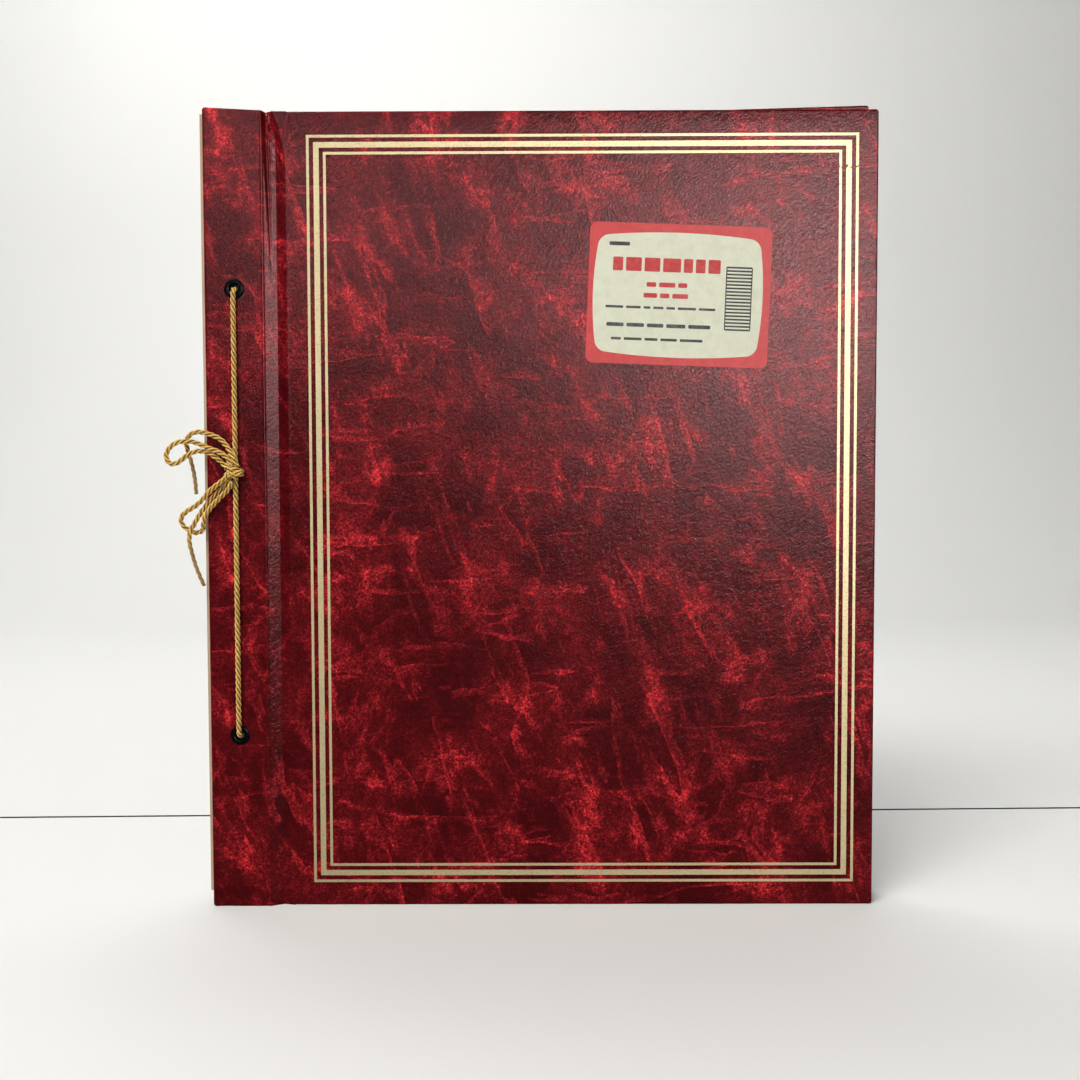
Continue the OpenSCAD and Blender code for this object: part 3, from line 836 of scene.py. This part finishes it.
cover_skin("front_cover_skin", -1, "front_cover", "front_stub_cover", "front_panel_cover")
cover_skin("back_cover_skin", 1, "back_cover", "back_stub_cover", "back_panel_cover")

# ---- gilt frame

FRAME_LOW, FRAME_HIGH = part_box("gold_frame")
# distance of each line's outer edge from the outermost one, and its width
GILT_LINES = ((0.0, 1.2 * MM), (3.2 * MM, 2.5 * MM), (7.6 * MM, 1.2 * MM))
FOIL_T = 0.06 * MM
RAGGED = 0.07 * MM
SCUFF_FROM_CORNER = (4 * MM, 15 * MM)  # a small scuff across the lines, near the far top corner


def gilt_line(inset, width):
    """Points and faces of one ring of foil with slightly ragged edges."""
    left, right = FRAME_LOW[0] + inset, FRAME_HIGH[0] - inset
    low, high = FRAME_LOW[2] + inset, FRAME_HIGH[2] - inset
    corners = [(left, low), (right, low), (right, high), (left, high)]
    stations = []
    for k, (x, z) in enumerate(corners):
        x2, z2 = corners[(k + 1) % 4]
        for t in spread(0, 1, 0.7 * MM / max(abs(x2 - x), abs(z2 - z))):
            stations.append((x + (x2 - x) * t, z + (z2 - z) * t))
    points, uvs = [], []
    for x, z in stations:
        share = 1 - 2 * width / (right - left)
        tall = 1 - 2 * width / (high - low)
        cx, cz = (left + right) / 2, (low + high) / 2
        for inner in (0, 1):
            px = cx + (x - cx) * (share if inner else 1)
            pz = cz + (z - cz) * (tall if inner else 1)
            px += RAGGED * wander(px, pz, 1.1 * MM, 2.0 + inner)
            pz += RAGGED * wander(px, pz, 1.3 * MM, 5.0 + inner)
            scuff = abs(FRAME_HIGH[2] - SCUFF_FROM_CORNER[1] - pz) < 0.4 * MM and px > cx
            rise = (-0.5 if scuff else 1) * FOIL_T
            face = STUB_FACE - outer_depth(px, pz)
            for lift in (rise, -FOIL_T):
                points.append((px, -face - lift, pz))
                uvs.append((px, pz))
    count = len(stations)
    faces = []
    for k in range(count):
        a, b = 4 * k, 4 * ((k + 1) % count)
        # outer top, outer base, inner top, inner base
        faces += [(a, b, b + 2, a + 2), (a + 1, a + 3, b + 3, b + 1)]
        faces += [(a, a + 1, b + 1, b), (a + 2, b + 2, b + 3, a + 3)]
    return points, faces, uvs


def gilt_frame():
    points, faces, uvs = joined(gilt_line(inset, width) for inset, width in GILT_LINES)
    foil = make_mesh("gilt_frame_foil", points, faces, GILT_FOIL, uvs, smooth=False)
    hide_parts("gold_frame")
    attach(foil, "front_cover")


gilt_frame()

# ---- label

LABEL_LOW, LABEL_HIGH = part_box("label")
LABEL_W, LABEL_H = 82.5 * MM, 63.5 * MM
LABEL_R = 3.5 * MM
FIELD_AT, FIELD_SIZE = (-0.5 * MM, -0.2 * MM), (72.5 * MM, 51.8 * MM)
LABEL_TURN = radians(2.3)
LABEL_AT = Vector(((LABEL_LOW[0] + LABEL_HIGH[0]) / 2, 0, (LABEL_LOW[2] + LABEL_HIGH[2]) / 2))
PAPER_T = 0.14 * MM
INK_T = 0.02 * MM
NO_BULGE = 1e-6  # straight sides, but still with points along them


def on_label(u, v, lift):
    """A point u right of and v above the label's middle, lifted off the cover."""
    x = LABEL_AT.x + u * cos(LABEL_TURN) + v * sin(LABEL_TURN)
    z = LABEL_AT.z - u * sin(LABEL_TURN) + v * cos(LABEL_TURN)
    return (x, -(STUB_FACE - outer_depth(x, z)) - lift, z)


def plate(outline, base, top, rings=8):
    """A thin plate on the label with that outline, as rings of points shrinking to its middle."""
    points, uvs, faces = [], [], []
    n = len(outline)
    middle = tuple(sum(c) / n for c in zip(*outline))
    levels = [(1.0, base)] + [(1 - k / rings, top) for k in range(rings)]
    for share, lift in levels:
        for u, v in outline:
            pu, pv = middle[0] + (u - middle[0]) * share, middle[1] + (v - middle[1]) * share
            points.append(on_label(pu, pv, lift))
            uvs.append((pu, pv))
    for r in range(len(levels) - 1):
        for k in range(n):
            a, b = r * n + k, r * n + (k + 1) % n
            faces.append((a, b, b + n, a + n))
    points.append(on_label(*middle, top))
    uvs.append(middle)
    last = (len(levels) - 1) * n
    faces += [(last + k, last + (k + 1) % n, len(points) - 1) for k in range(n)]
    faces.append(tuple(reversed(range(n))))
    return points, faces, uvs


def round_box(cx, cy, w, h, r, steps=6, bulge=0.0):
    """A rounded rectangle's outline, anticlockwise, its sides bulging outwards by bulge."""
    out = []
    for k, (sx, sy) in enumerate(((1, -1), (1, 1), (-1, 1), (-1, -1))):
        for i in range(steps + 1):
            a = -pi / 2 + (k + i / steps) * pi / 2
            out.append((sx * (w / 2 - r) + r * cos(a), sy * (h / 2 - r) + r * sin(a)))
    if bulge:
        fine = []
        for k, (x, y) in enumerate(out):
            x2, y2 = out[(k + 1) % len(out)]
            for t in spread(0, 1, min(1, 2 * MM / max(sqrt((x2 - x) ** 2 + (y2 - y) ** 2), 1e-9))):
                fine.append((x + (x2 - x) * t, y + (y2 - y) * t))
        out = [(x * (1 + bulge * (1 - (2 * y / h) ** 2) / (w / 2)),
                y * (1 + bulge * (1 - (2 * x / w) ** 2) / (h / 2))) for x, y in fine]
    return [(cx + x, cy + y) for x, y in out]


def label_piece(name, material, outlines, base, top):
    points, faces, uvs = joined(plate(outline, base, top) for outline in outlines)
    piece = make_mesh(name, points, faces, material, uvs, smooth=False)
    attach(piece, "front_cover")
    return piece


# Generic print in millimetres from the label's middle: [left end, right end, centre up, height].
# Rows of plain dashes stand in for every line of print, and a ruled box for the printed code.
RED_RULES = ((-30.3, 18.4, 13.2, 6.2), (-14.8, 3.6, 4.3, 2.1), (-16.0, 4.2, -0.6, 2.1))
GREY_RULES = (
    (-32.3, -23, 22.2, 1.7),
    (-33, 16.8, -6.1, 1.1),
    (-32.3, 14.8, -14.1, 1.7),
    (-30, 11.6, -20.4, 1.2),
)
DASH_LONGEST, DASH_SHORTEST, DASH_GAP = 9.0, 3.0, 1.3
BOX_AT, BOX_SIZE, BOX_LINE, BOX_RULES = (27.0, -0.8), (11.5, 28.0), 0.5, 18


def dashes(left, right, up, tall):
    """A row of dashes of mixed lengths, as places and sizes."""
    row = []
    while left < right:
        end = min(left + random.uniform(DASH_SHORTEST, DASH_LONGEST), right)
        if right - end < DASH_SHORTEST + DASH_GAP:
            end = right
        row.append(((left + end) / 2, up, end - left, tall))
        left = end + DASH_GAP
    return row


def ruled_box():
    """An evenly ruled box, with the rules running across it."""
    (x, y), (w, h) = BOX_AT, BOX_SIZE
    sides = [(x - w / 2, y, BOX_LINE, h), (x + w / 2, y, BOX_LINE, h)]
    return sides + [(x, y - h / 2 + h * k / BOX_RULES, w, 1.6 * BOX_LINE) for k in range(BOX_RULES + 1)]


def rules(rows, corner):
    """Outlines of the rows' dashes; corner is the corner radius as a share of the dash's smaller side."""
    return [round_box(*(MM * c for c in r), corner * MM * min(r[2], r[3], 2)) for r in rows]


def make_label():
    edge = round_box(0, 0, LABEL_W, LABEL_H, LABEL_R, bulge=NO_BULGE)
    base = label_piece("label_base", LABEL_RED, [edge], -FOIL_T, PAPER_T)
    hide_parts("label")
    field = round_box(*FIELD_AT, *FIELD_SIZE, 4 * MM, bulge=2.2 * MM)
    label_piece("label_field", LABEL_CREAM, [field], 0, PAPER_T + INK_T)
    red = [dash for row in RED_RULES for dash in dashes(*row)]
    grey = [dash for row in GREY_RULES for dash in dashes(*row)]
    print_top = PAPER_T + 2 * INK_T
    label_piece("label_red_rules", PRINT_RED, rules(red, 0.3), 0, print_top)
    label_piece("label_grey_rules", PRINT_GREY, rules(grey, 0.3) + rules(ruled_box(), 0.05), 0, print_top)


make_label()

# ---- eyelets

EYELET_R, HOLE_R = 4.5 * MM, 2.0 * MM


def eyelet(name, side, z):
    """A rolled eyelet: a domed rim that curls down into the hole."""
    middle, half = (EYELET_R + HOLE_R) / 2, (EYELET_R - HOLE_R) / 2
    profile = [(middle + half * cos(a), RIM_H * max(sin(a), 0) ** 0.8)
               for a in (pi * k / 14 for k in range(15))]
    profile += [(HOLE_R, -0.6 * MM), (HOLE_R + 0.05 * MM, -2.9 * MM), (HOLE_R + 0.3 * MM, -2.9 * MM),
                (HOLE_R + 0.35 * MM, -0.1 * MM), (EYELET_R - 0.4 * MM, -0.1 * MM)]
    turns = 64
    points, faces = [], []
    for t in range(turns):
        a = 2 * pi * t / turns
        for r, h in profile:
            points.append((EYELET_X + r * cos(a), side * (STUB_FACE + h), z + r * sin(a)))
    n = len(profile)
    for t in range(turns):
        for k in range(n):
            a, b = t * n, ((t + 1) % turns) * n
            faces.append((a + k, a + (k + 1) % n, b + (k + 1) % n, b + k)[::side])
    ring = make_mesh(name + "_rim", points, faces, BLACK_ENAMEL)
    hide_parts(name)
    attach(ring, "binding")


for side, face in ((-1, "front"), (1, "back")):
    for end, z in (("upper", UPPER_Z), ("lower", LOWER_Z)):
        eyelet(f"{face}_{end}_eyelet", side, z)

# ---- sheets


def sheet(node):
    """One leaf, with the small shifts that keep a pile of paper from being a perfect block."""
    low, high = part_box(node)
    left, right = low[0], high[0] + random.uniform(-0.5, 0.4) * MM
    drop = random.uniform(-0.35, 0.35) * MM
    skew = random.uniform(-0.3, 0.3) * MM
    thick = high[1] - low[1]
    nx, nz = 16, 20
    points, uvs = [], []
    for back in (0, 1):
        for j in range(nz + 1):
            for i in range(nx + 1):
                u, v = i / nx, j / nz
                x = left + (right - left) * u + 0.12 * MM * wander(0, v, 0.13, low[1] * 900) * (i == nx)
                z = low[2] + (high[2] - low[2]) * v + drop + skew * u
                points.append((x, low[1] + thick * (0.06 + 0.88 * back), z))
                uvs.append((x, z))
    m = (nx + 1) * (nz + 1)
    faces = []
    for j in range(nz):
        for i in range(nx):
            a = j * (nx + 1) + i
            b = a + nx + 1
            faces += [(a, a + 1, b + 1, b), (m + a, m + b, m + b + 1, m + a + 1)]
    for i in range(nx):
        top = nz * (nx + 1) + i
        faces += [(i + 1, i, m + i, m + i + 1), (top, top + 1, m + top + 1, m + top)]
    for j in range(nz):
        a, c = j * (nx + 1), j * (nx + 1) + nx
        faces += [(a, a + nx + 1, m + a + nx + 1, m + a), (c + nx + 1, c, m + c, m + c + nx + 1)]
    leaf = make_mesh(node + "_leaf", points, faces, SHEET_PAPER, uvs, smooth=False)
    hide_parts(node)
    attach(leaf, node)


STUBS_LOW, STUBS_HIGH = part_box("sheet_stubs")
TONGUE_FLAT = 0.5 * MM  # how far the paper lies flat before a leaf's crease
PLY_GAP = 0.05 * MM
CREASE_GAP = 0.4 * MM  # room for the leaf's edge to swing past the tongue


def sheet_stub(k, leaf):
    """The part of a sheet that stays in the binding: a doubled stub, and single paper up to the crease."""
    low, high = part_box(leaf)
    pitch = (STUBS_HIGH[1] - STUBS_LOW[1]) / len(SHEETS)
    middle = STUBS_LOW[1] + (k + 0.5) * pitch
    thick = high[1] - low[1]
    left = STUBS_LOW[0] + random.uniform(0.0, 0.5) * MM
    drop = random.uniform(-0.3, 0.3) * MM
    half = pitch / 2 - PLY_GAP
    turn = STUB_EDGE - 2 * half
    leaf_y = (low[1] + high[1]) / 2
    fold = [(turn + half * (1 + sin(a)), middle - half * cos(a)) for a in (pi * j / 6 for j in range(7))]
    outer = [(left, middle - half)] + fold + [(left, middle + half)]
    slit = PLY_GAP / 2
    inner = [(left, middle + slit), (turn, middle + slit), (turn, middle - slit), (left, middle - slit)]
    crease = low[0] - CREASE_GAP
    tongue = [(turn, middle), (crease - TONGUE_FLAT, leaf_y), (crease, leaf_y)]
    lower_side = [(x, y - 0.45 * thick) for x, y in tongue]
    upper_side = [(x, y + 0.45 * thick) for x, y in reversed(tongue)]
    points, uvs, faces = [], [], []
    rows = 12
    for outline in (outer + inner, lower_side + upper_side):
        first, n = len(points), len(outline)
        for j in range(rows + 1):
            z = low[2] + (high[2] - low[2]) * j / rows + drop
            for x, y in outline:
                points.append((x + 0.15 * MM * wander(k, z, 0.07, 4.0) * (x < left + 1 * MM), y, z))
                uvs.append((x + y, z))
        for j in range(rows):
            for i in range(n):
                q, q2 = first + j * n + i, first + j * n + (i + 1) % n
                faces.append((q, q2, q2 + n, q + n))
        faces.append(tuple(first + i for i in reversed(range(n))))
        faces.append(tuple(first + rows * n + i for i in range(n)))
    stub = make_mesh(leaf + "_stub", points, faces, SHEET_PAPER, uvs, smooth=False)
    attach(stub, "binding")
    return stub


SHEETS = sorted(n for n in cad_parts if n.startswith("sheet_") and n != "sheet_stubs")
for node in SHEETS:
    sheet(node)
stubs = [sheet_stub(k, node) for k, node in enumerate(SHEETS)]
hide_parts("sheet_stubs")

# ---- CAD pieces that stay

FINISHES = {"_board": COVER_BOARD, "_lining": LINING_PAPER}
for name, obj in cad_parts.items():
    for ending, material in FINISHES.items():
        if name.endswith(ending):
            obj.data.materials.clear()
            obj.data.materials.append(material)

# ---- stage and light

SEAM_Y = 0.14  # where the table ends and the backdrop begins
SEAM = 0.003  # width of the gap between them, coloured dark grey as painted shade
SEAM_DEEP = 0.006
STAGE_SKEW = 0.025  # the gap isn't quite parallel to the album
STAGE_HALF = 6.0
SWEEP_FROM, SWEEP_R = 1.1, 0.8  # where the backdrop starts to curve up, and its radius


def stage_sheet(name, profile, material):
    """A sheet as wide as the stage, through points given as (y, z)."""
    points = [(x, y + STAGE_SKEW * x, z) for y, z in profile for x in (-STAGE_HALF, STAGE_HALF)]
    faces = [(2 * k, 2 * k + 1, 2 * k + 3, 2 * k + 2) for k in range(len(profile) - 1)]
    make_mesh(name, points, faces, material)


def make_stage():
    """A pale table and, past a thin gap coloured dark grey as painted shade, a pale backdrop that sweeps up
    far behind.
    """
    pale = plain_stage("stage", (0.72, 0.715, 0.695), (0.69, 0.685, 0.665))
    # painted shade: the gap's sides and floor are coloured dark grey
    gap_shade = plain_stage("stage_gap_shade", (0.10, 0.095, 0.09), (0.07, 0.065, 0.06))
    end = SEAM_Y - SEAM
    stage_sheet("stage_table", [(-STAGE_HALF, 0), (end, 0)], pale)
    stage_sheet("stage_gap_shade", [(end, 0), (end, -SEAM_DEEP), (SEAM_Y, -SEAM_DEEP), (SEAM_Y, 0)], gap_shade)
    turns = [pi / 2 * k / 24 for k in range(25)]
    sweep = [(SWEEP_FROM + SWEEP_R * sin(a), SWEEP_R * (1 - cos(a))) for a in turns]
    stage_sheet("stage_backdrop", [(SEAM_Y, 0)] + sweep + [(SWEEP_FROM + SWEEP_R, STAGE_HALF)], pale)


def area_light(name, at, towards, size, power, colour=(1, 1, 1), sheen_only=False):
    """A rectangular soft box; sheen_only ones show in shiny surfaces and light nothing else."""
    data = bpy.data.lights.new(name, "AREA")
    data.shape = "RECTANGLE"
    data.size, data.size_y = size
    data.energy = power
    data.color = colour
    light = bpy.data.objects.new(name, data)
    light.location = at
    light.rotation_euler = (Vector(towards) - Vector(at)).to_track_quat("-Z", "Y").to_euler()
    light.visible_diffuse = not sheen_only
    bpy.context.scene.collection.objects.link(light)


def lights():
    middle = (0, 0, 0.2)
    area_light("ceiling", (-0.7, -0.95, 2.2), (-0.1, -0.3, 0.0), (1.8, 1.2), 20, (1.0, 1.0, 0.97))
    area_light("front", (-0.5, -0.95, 1.42), middle, (0.8, 0.5), 21.5, (1.0, 0.99, 0.97))
    area_light("backdrop", (-0.4, 0.6, 1.7), (0.0, 1.9, 0.5), (1.8, 0.6), 24)
    area_light("sheen_right", (0.80, -3.0, 0.85), middle, (0.9, 0.9), 400, sheen_only=True)
    area_light("sheen_left", (-0.75, -3.0, 1.15), middle, (0.6, 0.5), 80, sheen_only=True)
    area_light("sheen_channel", (2.1, -3.0, 1.05), middle, (0.6, 1.2), 340, sheen_only=True)
    world = bpy.data.worlds.new("world")
    bpy.context.scene.world = world
    world.use_nodes = True
    world.node_tree.nodes["Background"].inputs["Color"].default_value = (0.95, 0.97, 1.0, 1)
    world.node_tree.nodes["Background"].inputs["Strength"].default_value = 0.17


make_stage()
lights()
bpy.context.scene.view_settings.view_transform = "Standard"
